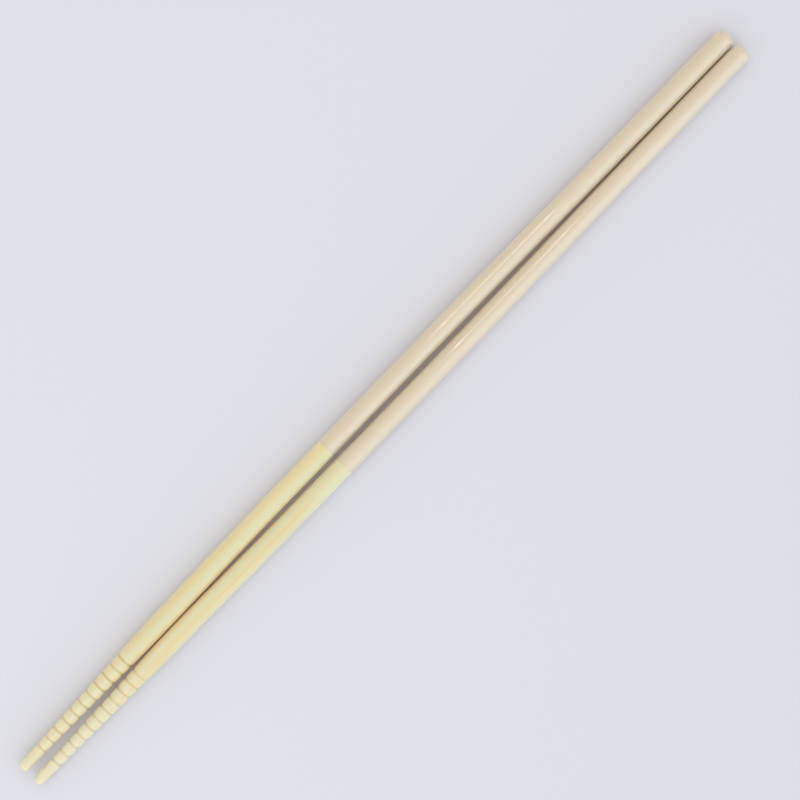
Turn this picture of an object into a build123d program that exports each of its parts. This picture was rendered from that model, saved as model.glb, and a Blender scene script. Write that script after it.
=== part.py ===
"""A pair of long bamboo chopsticks with turned grip rings at the tips.

Each chopstick is one turned piece: a round shaft with a domed butt, a slender cone at the
eating end, and a row of beads cut between round grooves near the tip. The shafts are
slightly bowed, as split bamboo is, and the pair lies side by side with the bows outwards,
so that the two touch near the butts and again where the cones begin.

Frame, in millimetres: +X runs from the tips to the butts, +Y to the left chopstick, +Z up.
The origin is under the middle of the pair, on the surface that it lies on.
"""

from build123d import *
from math import radians, tan
import os

# The stick.
LENGTH = 330.0
SHAFT_DIAMETER = 6.9
BUTT_ROUND = 2.6  # radius of the domed butt's edge

# The eating end: a cone with grip rings, measured from the tip.
TIP_DIAMETER = 3.5
TIP_ROUND = 1.2  # radius of the blunt point's edge
FIRST_GROOVE = 9.4
GROOVE_COUNT = 11
GROOVE_PITCH = 3.9
GROOVE_WIDTH = 1.1
GROOVE_DEPTH = 0.34
BEAD_CROWN = 0.11  # how far a bead's middle stands above its edges
SHOULDER_LENGTH = 1.5  # easing from the last groove up to the plain cone
PLAIN_CONE = 14.6  # from the last groove's middle to where the cone meets the shaft
CONE_BLEND = 8.0  # how far the round from cone to shaft reaches each way

# The bow of each shaft and how the two lie together. Each shaft swings out just past the
# cone, runs over a flat crest and comes back slowly to a straight run at the butt.
BEND_START = 3.0  # from the end of the cone to the corner where the shaft swings out
BOW_RISE_LENGTH = 34.0  # from there to the corner where the swing outwards eases
BOW_RISE = 0.49  # height of that corner
BOW_CREST = 0.62  # height of the corner halfway from there to the butt's straight run
BUTT_STRAIGHT = 34.0  # straight run at the butt, where the two lie together
CORNER_SHARE = 0.45  # share of its shorter leg that each corner's round takes up
LEFT_TOE_IN = 0.65  # how far each tip's axis leans towards its mate, in degrees
RIGHT_TOE_IN = -0.2
PAIR_GAP = 0.12  # clearance where the two lie together

SHAFT_RADIUS = SHAFT_DIAMETER / 2
TIP_RADIUS = TIP_DIAMETER / 2
CONE_LENGTH = FIRST_GROOVE + (GROOVE_COUNT - 1) * GROOVE_PITCH + PLAIN_CONE
CONE_SLOPE = (SHAFT_RADIUS - TIP_RADIUS) / CONE_LENGTH
CONE_END = CONE_LENGTH + CONE_BLEND


def cone_radius(distance):
    """Radius of the plain cone at a distance from the tip."""
    return TIP_RADIUS + CONE_SLOPE * distance


def groove_edges(index):
    """The two rims and the floor of one groove, as (distance, radius) points."""
    middle = FIRST_GROOVE + index * GROOVE_PITCH
    near, far = middle - GROOVE_WIDTH / 2, middle + GROOVE_WIDTH / 2
    return (
        (near, cone_radius(near) - BEAD_CROWN),
        (middle, cone_radius(middle) - GROOVE_DEPTH),
        (far, cone_radius(far) - BEAD_CROWN),
    )


def turned(outline, end):
    """The solid turned from an outline that starts and ends on the lathe's axis, X."""
    closed = outline + [Line(end, (0, 0))]
    return revolve(make_face(closed), axis=Axis.X, revolution_arc=360)


def tip_end():
    """The cone with its grip rings and blunt point, tip at the origin, growing along +X."""
    dome_end = (TIP_ROUND, cone_radius(TIP_ROUND))
    flat_radius = dome_end[1] - TIP_ROUND
    outline = [
        Line((0, 0), (0, flat_radius)),
        TangentArc((0, flat_radius), dome_end, tangent=(0, 1)),
    ]
    here = dome_end
    for index in range(GROOVE_COUNT):
        near, floor, far = groove_edges(index)
        if index == 0:
            outline.append(Line(here, near))
        else:
            crown = (here[0] + near[0]) / 2
            outline.append(ThreePointArc(here, (crown, cone_radius(crown)), near))
        outline.append(ThreePointArc(near, floor, far))
        here = far
    shoulder = (here[0] + SHOULDER_LENGTH, cone_radius(here[0] + SHOULDER_LENGTH))
    outline.append(TangentArc(shoulder, here, tangent=(-1, -CONE_SLOPE)))
    blend = (CONE_LENGTH - CONE_BLEND, cone_radius(CONE_LENGTH - CONE_BLEND))
    end = (CONE_END, SHAFT_RADIUS)
    outline += [
        Line(shoulder, blend),
        TangentArc(blend, end, tangent=(1, CONE_SLOPE)),
        Line(end, (CONE_END, 0)),
    ]
    return turned(outline, (CONE_END, 0))


def butt_end(length):
    """The end of the shaft with its domed butt, growing along +X from the origin."""
    rim = (length - BUTT_ROUND, SHAFT_RADIUS)
    crown = (length, SHAFT_RADIUS - BUTT_ROUND)
    outline = [
        Line((0, 0), (0, SHAFT_RADIUS)),
        Line((0, SHAFT_RADIUS), rim),
        TangentArc(rim, crown, tangent=(1, 0)),
        Line(crown, (length, 0)),
    ]
    return turned(outline, (length, 0))


def shaft_corners(toe_in):
    """The corners of the shaft's axis, from the end of the cone to the start of the butt."""
    contact_y = SHAFT_RADIUS + PAIR_GAP / 2
    bend = Vector(CONE_END + BEND_START - LENGTH / 2, contact_y)
    rise = bend + Vector(BOW_RISE_LENGTH, BOW_RISE)
    fall = Vector(LENGTH / 2 - BUTT_STRAIGHT, contact_y)
    crest = Vector((rise.X + fall.X) / 2, contact_y + BOW_CREST)
    start = bend + Vector(-BEND_START, 0).rotate(Axis.Z, toe_in)
    return [start, bend, rise, crest, fall, fall + Vector(BUTT_STRAIGHT / 2, 0)]


def corner_radii(points):
    """Radius of the round at each inner corner, as large as its own shorter leg allows."""
    radii = []
    for before, corner, after in zip(points, points[1:], points[2:]):
        half_turn = radians((corner - before).get_angle(after - corner) / 2)
        leg = min((corner - before).length, (after - corner).length)
        radii.append(CORNER_SHARE * leg / tan(half_turn))
    return radii


def chopstick(toe_in):
    """A chopstick lying on the surface at +Y, its tip leaning in by toe_in degrees."""
    corners = shaft_corners(toe_in)
    path = FilletPolyline(*corners, radius=corner_radii(corners))
    section = Plane(corners[0], z_dir=path % 0) * Circle(SHAFT_RADIUS)
    shaft = sweep(section, path=path)

    tip_point = corners[0] + Vector(-CONE_END, 0).rotate(Axis.Z, toe_in)
    tip = Location(tip_point, (0, 0, toe_in)) * tip_end()
    butt = Location(corners[-1]) * butt_end(LENGTH / 2 - corners[-1].X)
    return Pos(0, 0, SHAFT_RADIUS) * (shaft + tip + butt)


def main():
    os.makedirs("parts", exist_ok=True)
    export_step(chopstick(LEFT_TOE_IN), "parts/left_chopstick.step")
    right = mirror(chopstick(RIGHT_TOE_IN), about=Plane.XZ)
    export_step(right, "parts/right_chopstick.step")


main()
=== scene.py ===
import bpy
import math
import random
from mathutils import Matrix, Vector


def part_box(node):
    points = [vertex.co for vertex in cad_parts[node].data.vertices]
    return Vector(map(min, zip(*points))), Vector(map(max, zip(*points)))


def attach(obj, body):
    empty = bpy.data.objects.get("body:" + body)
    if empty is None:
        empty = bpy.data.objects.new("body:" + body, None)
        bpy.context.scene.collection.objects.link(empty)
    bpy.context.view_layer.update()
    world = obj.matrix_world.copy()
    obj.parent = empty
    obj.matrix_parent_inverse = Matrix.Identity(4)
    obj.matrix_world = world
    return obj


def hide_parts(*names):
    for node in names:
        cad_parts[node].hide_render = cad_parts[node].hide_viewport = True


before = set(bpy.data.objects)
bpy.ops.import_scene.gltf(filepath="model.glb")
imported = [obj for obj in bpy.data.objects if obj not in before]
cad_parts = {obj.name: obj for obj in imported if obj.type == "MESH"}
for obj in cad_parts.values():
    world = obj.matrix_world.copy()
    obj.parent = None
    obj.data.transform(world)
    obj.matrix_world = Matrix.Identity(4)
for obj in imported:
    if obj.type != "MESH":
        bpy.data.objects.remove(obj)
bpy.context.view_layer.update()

# ---------------------------------------------------------------------------------------
# The two chopsticks. Each is one length of bamboo turned round on a lathe: a domed butt, a
# long shaft, a slender cone and a row of beads between round grooves by the blunt point.
# Split bamboo is never quite straight, so each shaft keeps a slight bow.

MM = 0.001
low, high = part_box("left_chopstick")
LENGTH = high.x - low.x
SHAFT_RADIUS = (high.z - low.z) / 2
AXIS_HEIGHT = (high.z + low.z) / 2
BUTT_ROUND = 2.6 * MM

TIP_RADIUS = 1.75 * MM
TIP_ROUND = 1.2 * MM
FIRST_GROOVE = 9.4 * MM
GROOVE_COUNT = 11
GROOVE_PITCH = 3.9 * MM
GROOVE_REACH = 0.78 * MM
GROOVE_DEPTH = 0.34 * MM
BEAD_CROWN = 0.11 * MM
LAST_GROOVE = FIRST_GROOVE + (GROOVE_COUNT - 1) * GROOVE_PITCH
CONE_LENGTH = LAST_GROOVE + 14.6 * MM
CONE_BLEND = 8.0 * MM
CONE_SLOPE = (SHAFT_RADIUS - TIP_RADIUS) / CONE_LENGTH

BEND_PLACE = CONE_LENGTH + CONE_BLEND + 3.0 * MM
RISE_PLACE = BEND_PLACE + 34.0 * MM
FALL_PLACE = LENGTH - 34.0 * MM
CREST_PLACE = (RISE_PLACE + FALL_PLACE) / 2
BOW_RISE = 0.49 * MM
BOW_CREST = 0.62 * MM
CORNER_SHARE = 0.45
CONTACT_Y = SHAFT_RADIUS + 0.07 * MM

LACQUER_LINE = 143.0 * MM
LACQUER_FILM = 0.04 * MM
LACQUER_LIP = 0.5 * MM
LINE_WAVER = 0.07 * MM
LINE_WAVER_REACH = 1.2 * MM

GROOVE_SCATTER = 0.07 * MM
GROOVE_DEPTH_SCATTER = 0.15
SWELL_SIZE = 0.008 * MM
SWELL_SPACING = 23 * MM
OVAL_SIZE = 0.006 * MM
OVAL_SPACING = 90 * MM
LEFT_TOE_IN = 0.65
RIGHT_TOE_IN = -0.2

POINTS_AROUND = 80
ROUND_STEP_DEGREES = 6
BEAD_STEP = 0.2 * MM
GROOVE_STEP = 0.12 * MM
CONE_STEP = 0.7 * MM
SHAFT_STEP = 1.4 * MM
LIP_STEP = 0.08 * MM


def eased_corner(past, reach):
    """How far a line has turned off its old course, with a round of the given reach."""
    if abs(past) < reach:
        return (past + reach) ** 2 / (4 * reach)
    return max(past, 0.0)


def axis_offset(distance, toe_in):
    """How far the stick's axis lies from the pair's middle line, at a distance from the tip."""
    rise_slope = BOW_RISE / (RISE_PLACE - BEND_PLACE)
    crest_slope = (BOW_CREST - BOW_RISE) / (CREST_PLACE - RISE_PLACE)
    fall_slope = -BOW_CREST / (FALL_PLACE - CREST_PLACE)
    places = [BEND_PLACE, RISE_PLACE, CREST_PLACE, FALL_PLACE]
    slopes = [math.tan(math.radians(toe_in)), rise_slope, crest_slope, fall_slope, 0.0]
    reaches = [CORNER_SHARE * (RISE_PLACE - BEND_PLACE) / 4] + [
        CORNER_SHARE * (after - before) for before, after in zip(places, places[1:])
    ]
    offset = CONTACT_Y + slopes[0] * (distance - BEND_PLACE)
    for place, reach, old, new in zip(places, reaches, slopes, slopes[1:]):
        offset += (new - old) * eased_corner(distance - place, reach)
    return offset


def groove_cut(distance, grooves):
    """How deep the grip rings cut below the plain cone. grooves lists (middle, depth)."""
    middle, depth = min(grooves, key=lambda groove: abs(groove[0] - distance))
    away = abs(distance - middle)
    crown = BEAD_CROWN * max(0.0, 1 - away / (GROOVE_PITCH / 2)) ** 2
    if away > GROOVE_REACH:
        return crown
    bell = (1 + math.cos(math.pi * away / GROOVE_REACH)) / 2
    return crown + (depth - BEAD_CROWN) * bell


def stick_radius(distance, grooves):
    """The turned outline: point, beads, cone, shaft and butt, with the lacquer's film."""
    past_cone = eased_corner(distance - CONE_LENGTH, CONE_BLEND)
    radius = TIP_RADIUS + CONE_SLOPE * (distance - past_cone) - LACQUER_FILM
    radius -= groove_cut(distance, grooves)
    if distance < TIP_ROUND:
        radius -= TIP_ROUND - math.sqrt(TIP_ROUND**2 - (TIP_ROUND - distance) ** 2)
    past_line = distance - LACQUER_LINE
    if past_line > 0:
        radius += LACQUER_FILM * math.sin(min(past_line / LACQUER_LIP, 1.0) * math.pi / 2)
    past_rim = distance - (LENGTH - BUTT_ROUND)
    if past_rim > 0:
        radius -= BUTT_ROUND - math.sqrt(max(BUTT_ROUND**2 - past_rim**2, 0.0))
    return radius


def spaced(start, end, step):
    """Evenly spaced distances from start up to, but not at, end."""
    count = max(1, round((end - start) / step))
    return [start + (end - start) * k / count for k in range(count)]


def ring_distances(grooves):
    """Where the mesh has its rings: close together on rounds and grooves, wide on the shaft."""
    turn = [math.radians(angle) for angle in range(0, 90, ROUND_STEP_DEGREES)]
    rings = [TIP_ROUND * (1 - math.cos(angle)) for angle in turn]
    here = TIP_ROUND
    for middle, _ in grooves:
        rings += spaced(here, middle - GROOVE_REACH, BEAD_STEP)
        rings += spaced(middle - GROOVE_REACH, middle + GROOVE_REACH, GROOVE_STEP)
        here = middle + GROOVE_REACH
    rings += spaced(here, CONE_LENGTH + CONE_BLEND, CONE_STEP)
    rings += spaced(CONE_LENGTH + CONE_BLEND, LACQUER_LINE, SHAFT_STEP)
    rings += spaced(LACQUER_LINE, LACQUER_LINE + LACQUER_LIP, LIP_STEP)
    rings += spaced(LACQUER_LINE + LACQUER_LIP, LENGTH - BUTT_ROUND, SHAFT_STEP)
    rings += [LENGTH - BUTT_ROUND * (1 - math.sin(angle)) for angle in turn]
    return rings + [LENGTH]


def turn_stick(node, side, toe_in, seed):
    """One chopstick as a mesh, in the place of its CAD node. side is 1 for left, -1 for right."""
    hand = random.Random(seed)
    grooves = [
        (
            FIRST_GROOVE + k * GROOVE_PITCH + hand.uniform(-GROOVE_SCATTER, GROOVE_SCATTER),
            GROOVE_DEPTH * hand.uniform(1 - GROOVE_DEPTH_SCATTER, 1 + GROOVE_DEPTH_SCATTER),
        )
        for k in range(GROOVE_COUNT)
    ]
    swell_phase, oval_phase, edge_phase = [hand.uniform(0, math.tau) for _ in range(3)]
    around = POINTS_AROUND
    places, faces, straightened, cuts = [], [], [], []
    rings = ring_distances(grooves)
    for distance in rings:
        radius = stick_radius(distance, grooves)
        swell = SWELL_SIZE * (math.sin(distance / SWELL_SPACING + swell_phase) - 1)
        near_line = math.exp(-(((distance - LACQUER_LINE) / LINE_WAVER_REACH) ** 2))
        for k in range(around):
            angle = math.tau * k / around
            oval = OVAL_SIZE * (math.cos(2 * angle + oval_phase + distance / OVAL_SPACING) - 1)
            waver = math.sin(2 * angle + edge_phase) + 0.6 * math.sin(5 * angle)
            along = distance + near_line * LINE_WAVER * waver
            reach = max(radius + swell + oval, 0.0)
            across, up = reach * math.cos(angle), reach * math.sin(angle)
            offset = axis_offset(along, toe_in) + across
            places.append((along - LENGTH / 2, side * offset, AXIS_HEIGHT + up))
            straightened.append((along, side * across, up))
            cuts.append(groove_cut(distance, grooves) / GROOVE_DEPTH)
    for ring in range(len(rings) - 1):
        for k in range(around):
            here, beside = ring * around + k, ring * around + (k + 1) % around
            faces.append((here, beside, beside + around, here + around)[::side])
    last = (len(rings) - 1) * around
    faces.append(tuple(range(around))[::-side])
    faces.append(tuple(range(last, last + around))[::side])

    mesh = bpy.data.meshes.new(node + "_turned")
    mesh.from_pydata(places, [], faces)
    mesh.shade_smooth()
    stick = bpy.data.objects.new(node + "_turned", mesh)
    bpy.context.scene.collection.objects.link(stick)
    as_turned = mesh.attributes.new("as_turned", "FLOAT_VECTOR", "POINT")
    as_turned.data.foreach_set("vector", [value for place in straightened for value in place])
    cut = mesh.attributes.new("groove_cut", "FLOAT", "POINT")
    cut.data.foreach_set("value", cuts)
    for face in mesh.polygons:
        middle = sum(straightened[v][0] for v in face.vertices) / len(face.vertices)
        face.material_index = int(middle > LACQUER_LINE)
    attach(stick, "root")
    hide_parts(node)
    return stick


left = turn_stick("left_chopstick", 1, LEFT_TOE_IN, seed=4)
right = turn_stick("right_chopstick", -1, RIGHT_TOE_IN, seed=11)

# ---------------------------------------------------------------------------------------
# The bare bamboo of the eating end. The stalk's wall is a bundle of straight fibres: fine
# pale and dark streaks run the length of the stick, with paler and warmer bands beside each
# other. The grooves are painted darker: partly the scorch the lathe's cutter leaves, partly
# painted shade in the hollows. The edge of each stick that faces the other is painted warmer,
# as painted warm bounce light between the sticks. Sanded satin, no finish.


def linear(red, green, blue):
    """A shader colour from a colour as a paint chart gives it, 0 to 255."""
    parts = [value / 255 for value in (red, green, blue)]
    return [((v + 0.055) / 1.055) ** 2.4 if v > 0.04045 else v / 12.92 for v in parts] + [1]


def add(tree, kind, inputs=(), **settings):
    """A node of a kind, with some of its inputs set or linked, and its settings."""
    node = tree.nodes.new("ShaderNode" + kind)
    for key, value in settings.items():
        setattr(node, key, value)
    for key, value in dict(inputs).items():
        if isinstance(value, bpy.types.NodeSocket):
            tree.links.new(value, node.inputs[key])
        else:
            node.inputs[key].default_value = value
    return node


def blend_colours(tree, amount, first, second):
    """A mix of two colours, by an amount that varies over the surface."""
    node = add(tree, "Mix", data_type="RGBA")
    for socket, value in zip([node.inputs[0], node.inputs[6], node.inputs[7]], [amount, first, second]):
        if isinstance(value, bpy.types.NodeSocket):
            tree.links.new(value, socket)
        else:
            socket.default_value = value
    return node.outputs[2]


def ramp(tree, value, start, end, low_value=0.0, high_value=1.0):
    """A value eased from low to high as another goes from start to end."""
    node = add(tree, "MapRange", interpolation_type="SMOOTHSTEP")
    tree.links.new(value, node.inputs["Value"])
    node.inputs["From Min"].default_value = start
    node.inputs["From Max"].default_value = end
    node.inputs["To Min"].default_value = low_value
    node.inputs["To Max"].default_value = high_value
    return node.outputs["Result"]


def fibre_group():
    """Bamboo's lengthwise fibre, from the stick's straightened coordinates in metres."""
    group = bpy.data.node_groups.new("bamboo_fibre", "ShaderNodeTree")
    face = group.interface
    face.new_socket("As Turned", in_out="INPUT", socket_type="NodeSocketVector")
    face.new_socket("Seed", in_out="INPUT", socket_type="NodeSocketFloat")
    for name in ("Streaks", "Dashes", "Bands"):
        face.new_socket(name, in_out="OUTPUT", socket_type="NodeSocketFloat")
    entry = group.nodes.new("NodeGroupInput")
    result = group.nodes.new("NodeGroupOutput")

    def stretched(along, across):
        scale = (along, across, across)
        node = add(group, "Mapping", {"Vector": entry.outputs["As Turned"], "Scale": scale})
        return node.outputs["Vector"]

    def noise(vector, detail):
        sockets = {"Vector": vector, "W": entry.outputs["Seed"], "Scale": 1.0, "Detail": detail}
        return add(group, "TexNoise", sockets, noise_dimensions="4D").outputs["Fac"]

    fine = noise(stretched(along=22, across=3300), detail=2.0)
    coarse = noise(stretched(along=9, across=1100), detail=2.0)
    both = add(group, "Math", {0: fine, 1: coarse}, operation="ADD").outputs[0]
    group.links.new(ramp(group, both, 0.7, 1.3), result.inputs["Streaks"])
    dashes = noise(stretched(along=160, across=5200), detail=1.0)
    group.links.new(ramp(group, dashes, 0.66, 0.74), result.inputs["Dashes"])
    bands = noise(stretched(along=7, across=240), detail=1.0)
    group.links.new(ramp(group, bands, 0.36, 0.64), result.inputs["Bands"])
    return group


FIBRE = fibre_group()


def new_material(name):
    """An empty material with its output and one Principled shader."""
    material = bpy.data.materials.new(name)
    material.use_nodes = True
    tree = material.node_tree
    tree.nodes.clear()
    shader = add(tree, "BsdfPrincipled")
    add(tree, "OutputMaterial", {"Surface": shader.outputs[0]})
    return material, tree, shader


def place_fibre(tree, seed):
    """The fibre group, fed with the stick's straightened coordinates."""
    turned = add(tree, "Attribute", attribute_name="as_turned").outputs["Vector"]
    fibre = add(tree, "Group", node_tree=FIBRE)
    tree.links.new(turned, fibre.inputs["As Turned"])
    fibre.inputs["Seed"].default_value = seed
    return turned, fibre


def colours_across(tree, value, stops):
    """A smooth run of colours, from (place, colour) stops, as a value goes from -1 to 1."""
    half = add(tree, "Math", {0: value, 1: 0.5, 2: 0.5}, operation="MULTIPLY_ADD").outputs[0]
    node = add(tree, "ValToRGB", {"Fac": half})
    node.color_ramp.interpolation = "EASE"
    while len(node.color_ramp.elements) < len(stops):
        node.color_ramp.elements.new(1.0)
    for element, (place, colour) in zip(node.color_ramp.elements, stops):
        element.position = (place + 1) / 2
        element.color = linear(*colour)
    return node.outputs["Color"]


PALE_TIP = linear(217, 214, 196)
FRESH_GREEN = linear(218, 218, 186)
PALE_BAND = linear(238, 224, 172)
WARM_STREAK = linear(205, 184, 122)
DARK_DASH = linear(196, 164, 104)
# Groove colour: partly the scorch of the lathe's cutter, partly painted shade in the grooves.
GROOVE_SCORCH_AND_SHADE = linear(205, 178, 108)
BAND_STRENGTH = 0.12
STREAK_STRENGTH = 0.14
DASH_STRENGTH = 0.2
DRIFT_MIDDLE = 85 * MM
TIP_FADE_START = 60 * MM
TIP_FADE_END = 22 * MM
GREEN_START = 118 * MM
GREEN_END = 134 * MM
SOAK_DEPTH = 2.8 * MM
FIBRE_RELIEF = 0.01 * MM


def soak_light(shader):
    """Light goes a few millimetres into bamboo and comes out beside where it went in."""
    shader.inputs["Subsurface Weight"].default_value = 1.0
    shader.inputs["Subsurface Radius"].default_value = (1.0, 0.65, 0.35)
    shader.inputs["Subsurface Scale"].default_value = SOAK_DEPTH


def bare_bamboo(name, seed, lean, stops, tip_fade, line_green, groove_scorch_and_shade):
    """Sanded bamboo. stops give the colours across the stick, from -Y to +Y: the wood's tone, with
    painted warm bounce light on the edge that faces the other stick.
    """
    material, tree, shader = new_material(name)
    turned, fibre = place_fibre(tree, seed)
    split = add(tree, "SeparateXYZ", {0: turned})
    along, sideways = split.outputs["X"], split.outputs["Y"]
    drift = add(tree, "Math", {0: along, 1: -DRIFT_MIDDLE}, operation="ADD").outputs[0]
    shifted = add(tree, "Math", {0: drift, 1: lean, 2: sideways}, operation="MULTIPLY_ADD")
    across = add(tree, "Math", {0: shifted.outputs[0], 1: SHAFT_RADIUS}, operation="DIVIDE")
    across = across.outputs[0]
    # The colours across the stick: the wood's tone, with painted warm bounce light on the edge that
    # faces the other stick.
    tone = colours_across(tree, across, stops)
    near_tip = ramp(tree, along, TIP_FADE_START, TIP_FADE_END, 0, tip_fade)
    tone = blend_colours(tree, near_tip, tone, PALE_TIP)
    near_line = ramp(tree, along, GREEN_START, GREEN_END, 0, line_green)
    green_side = ramp(tree, across, 0.05, -0.3)
    green = add(tree, "Math", {0: near_line, 1: green_side}, operation="MULTIPLY").outputs[0]
    tone = blend_colours(tree, green, tone, FRESH_GREEN)
    bands = ramp(tree, fibre.outputs["Bands"], 0, 1, 0, BAND_STRENGTH)
    tone = blend_colours(tree, bands, tone, PALE_BAND)
    streaks = ramp(tree, fibre.outputs["Streaks"], 0, 1, STREAK_STRENGTH, 0)
    tone = blend_colours(tree, streaks, tone, WARM_STREAK)
    dashes = ramp(tree, fibre.outputs["Dashes"], 0, 1, 0, DASH_STRENGTH)
    tone = blend_colours(tree, dashes, tone, DARK_DASH)
    # The grooves are painted darker: partly scorch, partly painted shade in the hollows.
    cut = add(tree, "Attribute", attribute_name="groove_cut").outputs["Fac"]
    tone = blend_colours(tree, ramp(tree, cut, 0.2, 1.0, 0, groove_scorch_and_shade), tone, GROOVE_SCORCH_AND_SHADE)
    tree.links.new(tone, shader.inputs["Base Color"])
    rough = ramp(tree, fibre.outputs["Streaks"], 0, 1, 0.52, 0.44)
    tree.links.new(rough, shader.inputs["Roughness"])
    soak_light(shader)
    sockets = {"Height": fibre.outputs["Streaks"], "Distance": FIBRE_RELIEF, "Strength": 0.3}
    relief = add(tree, "Bump", sockets)
    tree.links.new(relief.outputs["Normal"], shader.inputs["Normal"])
    return material


# Stops from -Y to +Y. The warmer orange at the edge that faces the other stick, -Y on the left stick
# and +Y on the right, is painted warm bounce light between the sticks.
LEFT_WOOD_AND_GAP_BOUNCE = [
    (-0.9, (228, 206, 162)),
    (-0.65, (225, 211, 166)),
    (-0.3, (218, 216, 183)),
    (0.1, (220, 214, 177)),
    (0.4, (225, 211, 163)),
    (0.9, (224, 211, 173)),
]
RIGHT_WOOD_AND_GAP_BOUNCE = [
    (-0.9, (216, 208, 183)),
    (-0.55, (216, 207, 164)),
    (-0.3, (221, 204, 159)),
    (0.1, (221, 213, 173)),
    (0.4, (220, 217, 183)),
    (0.9, (226, 206, 165)),
]
bare_left = bare_bamboo(
    "bare_bamboo_left",
    seed=3.0,
    lean=0.012,
    stops=LEFT_WOOD_AND_GAP_BOUNCE,
    tip_fade=0.35,
    line_green=0.5,
    groove_scorch_and_shade=0.5,
)
bare_right = bare_bamboo(
    "bare_bamboo_right",
    seed=8.0,
    lean=-0.012,
    stops=RIGHT_WOOD_AND_GAP_BOUNCE,
    tip_fade=0.65,
    line_green=0.85,
    groove_scorch_and_shade=0.28,
)
left.data.materials.append(bare_left)
right.data.materials.append(bare_right)

# ---------------------------------------------------------------------------------------
# The lacquer on the handle. The stick is dipped in cream lacquer to a line round it, which
# leaves a thin glossy film with a soft rounded lip. The fibre under it just shows through.

CREAM = linear(217, 202, 176)
DEEPER_CREAM = linear(215, 200, 173)
FIBRE_THROUGH_CREAM = linear(206, 184, 148)
FIBRE_THROUGH_STRENGTH = 0.06
PEEL_RELIEF = 0.004 * MM


def cream_lacquer(name, seed):
    """Glossy cream lacquer over bamboo."""
    material, tree, shader = new_material(name)
    turned, fibre = place_fibre(tree, seed)
    tone = blend_colours(tree, fibre.outputs["Bands"], CREAM, DEEPER_CREAM)
    streaks = ramp(tree, fibre.outputs["Streaks"], 0, 1, FIBRE_THROUGH_STRENGTH, 0)
    tone = blend_colours(tree, streaks, tone, FIBRE_THROUGH_CREAM)
    tree.links.new(tone, shader.inputs["Base Color"])
    cloudy = add(tree, "TexNoise", {"Vector": turned, "Scale": 160.0, "Detail": 2.0})
    rough = ramp(tree, cloudy.outputs["Fac"], 0.3, 0.7, 0.34, 0.42)
    tree.links.new(rough, shader.inputs["Roughness"])
    soak_light(shader)
    shader.inputs["Coat Weight"].default_value = 1.0
    shader.inputs["Coat IOR"].default_value = 1.75
    shader.inputs["Coat Roughness"].default_value = 0.05
    peel = add(tree, "TexNoise", {"Vector": turned, "Scale": 900.0, "Detail": 1.0})
    sockets = {"Height": peel.outputs["Fac"], "Distance": PEEL_RELIEF, "Strength": 0.3}
    relief = add(tree, "Bump", sockets)
    tree.links.new(relief.outputs["Normal"], shader.inputs["Normal"])
    return material


left.data.materials.append(cream_lacquer("cream_lacquer_left", 5.0))
right.data.materials.append(cream_lacquer("cream_lacquer_right", 12.0))

# ---------------------------------------------------------------------------------------
# The stage: a pale seamless table under a soft sky, brighter on the right chopstick's side.
# A dim strip lamp in three lengths hangs over the handles, a soft lamp stands beyond the
# tips, and the camera looks straight down.

TABLE_REACH = 3.0
TABLE_COLOUR = linear(214, 219, 227)
# The table glows a little for camera, glossy and transmission rays: painted warm light that lifts and
# warms the shadows beside and between the sticks.
TABLE_GLOW = 0.10
GLOW_COLOUR = linear(237, 172, 132)
TABLE_CORNERS = [(-1, -1), (1, -1), (1, 1), (-1, 1)]
floor_mesh = bpy.data.meshes.new("table")
corners = [(x * TABLE_REACH, y * TABLE_REACH, 0) for x, y in TABLE_CORNERS]
floor_mesh.from_pydata(corners, [], [(0, 1, 2, 3)])
floor = bpy.data.objects.new("table", floor_mesh)
bpy.context.scene.collection.objects.link(floor)
table_paint, tree, shader = new_material("pale_table")
shader.inputs["Base Color"].default_value = TABLE_COLOUR
shader.inputs["Roughness"].default_value = 0.9
shader.inputs["Specular IOR Level"].default_value = 0.1
ray = add(tree, "LightPath").outputs
seen = add(tree, "Math", {0: ray["Is Camera Ray"], 1: ray["Is Glossy Ray"]}, operation="ADD")
seen = add(tree, "Math", {0: seen.outputs[0], 1: ray["Is Transmission Ray"]}, operation="ADD")
glow = add(tree, "Emission", {"Color": GLOW_COLOUR})
share = add(tree, "Math", {0: seen.outputs[0], 1: TABLE_GLOW}, operation="MULTIPLY")
both = add(tree, "MixShader", {0: share.outputs[0], 1: shader.outputs[0], 2: glow.outputs[0]})
tree.links.new(both.outputs[0], tree.nodes["Material Output"].inputs["Surface"])
floor_mesh.materials.append(table_paint)

SKY_LEVEL = 0.87
OVERHEAD_EXTRA = 0.08
OVERHEAD_START = 0.55
WINDOW_LEVEL = 1.63
WINDOW_SIDE = (0.0, -0.87, 0.493)
WINDOW_EDGE = 0.5
WINDOW_HEART = 0.97
SKY_TINT = linear(255, 254, 253)
WINDOW_TINT = linear(232, 242, 255)
world = bpy.data.worlds.new("studio")
world.use_nodes = True
tree = world.node_tree
background = tree.nodes["Background"]
direction = add(tree, "TexCoord").outputs["Generated"]
height = add(tree, "SeparateXYZ", {0: direction}).outputs["Z"]
towards = add(tree, "VectorMath", {0: direction, 1: WINDOW_SIDE}, operation="DOT_PRODUCT")
towards = towards.outputs["Value"]
overhead = ramp(tree, height, OVERHEAD_START, 1.0, SKY_LEVEL, SKY_LEVEL + OVERHEAD_EXTRA)
window = ramp(tree, towards, WINDOW_EDGE, WINDOW_HEART, 0.0, WINDOW_LEVEL - SKY_LEVEL)
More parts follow.
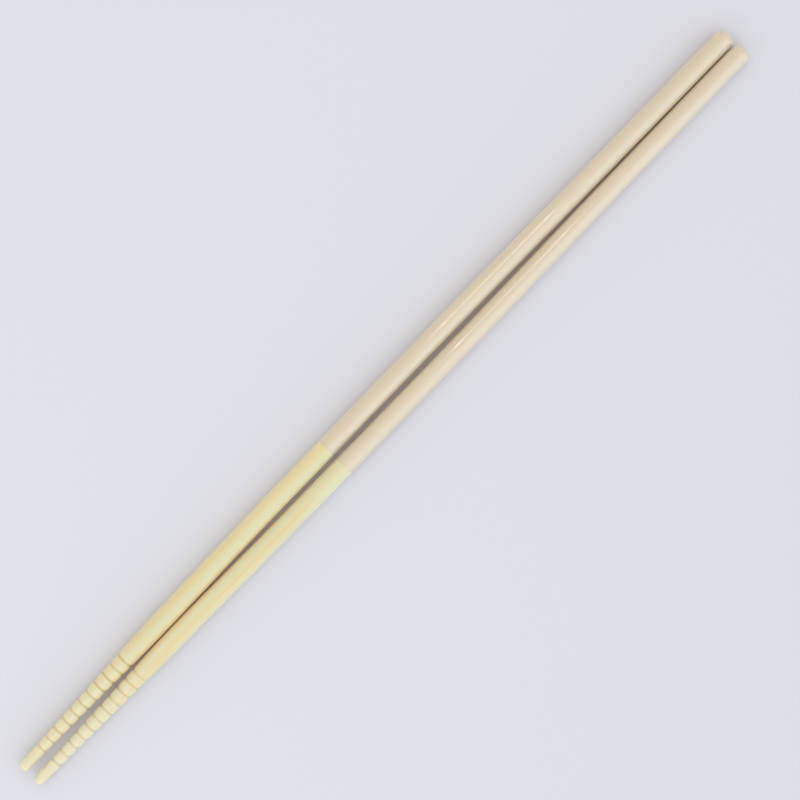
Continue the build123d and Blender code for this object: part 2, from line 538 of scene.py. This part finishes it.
level = add(tree, "Math", {0: overhead, 1: window}, operation="ADD").outputs[0]
tree.links.new(level, background.inputs["Strength"])
in_window = ramp(tree, towards, WINDOW_EDGE, WINDOW_HEART)
tint = blend_colours(tree, in_window, SKY_TINT, WINDOW_TINT)
tree.links.new(tint, background.inputs["Color"])
bpy.context.scene.world = world


def area_lamp(name, place, target, width, height, power):
    """A flat lamp at a place, facing a target."""
    lamp = bpy.data.lights.new(name, "AREA")
    lamp.shape = "RECTANGLE"
    lamp.size = width
    lamp.size_y = height
    lamp.energy = power
    holder = bpy.data.objects.new(name, lamp)
    holder.location = place
    facing = Vector(target) - holder.location
    holder.rotation_euler = facing.to_track_quat("-Z", "Y").to_euler()
    bpy.context.scene.collection.objects.link(holder)


STRIP_SIDE = 0.215
STRIP_HEIGHT = 0.5
STRIP_BREADTH = 0.03


def strip_length(name, along, length, power):
    """One length of the strip lamp, its middle at a place along the pair."""
    place = (along, STRIP_SIDE, STRIP_HEIGHT)
    area_lamp(name, place, (along, 0, 0), length, STRIP_BREADTH, power)


strip_length("strip", along=0.0905, length=0.073, power=0.055)
strip_length("strip_end_near_tip", along=0.048, length=0.012, power=0.022)
strip_length("strip_end_near_butt", along=0.133, length=0.012, power=0.024)
area_lamp(
    "tip_lamp",
    place=(-0.5, 0.0, 0.4),
    target=(-0.15, 0, 0),
    width=0.25,
    height=0.25,
    power=0.3,
)

CAMERA_HEIGHT = 0.8
FRAME_WIDTH = 0.2591
FRAME_MIDDLE = (0.0059, -0.0023)
PAIR_TURN = 45.96
camera_data = bpy.data.cameras.new("overhead")
camera_data.sensor_width = 36.0
camera_data.lens = camera_data.sensor_width * CAMERA_HEIGHT / FRAME_WIDTH
camera = bpy.data.objects.new("overhead", camera_data)
camera.location = (*FRAME_MIDDLE, AXIS_HEIGHT + CAMERA_HEIGHT)
camera.rotation_euler = (0.0, 0.0, math.radians(-PAIR_TURN))
bpy.context.scene.collection.objects.link(camera)
bpy.context.scene.camera = camera
bpy.context.scene.view_settings.view_transform = "Standard"
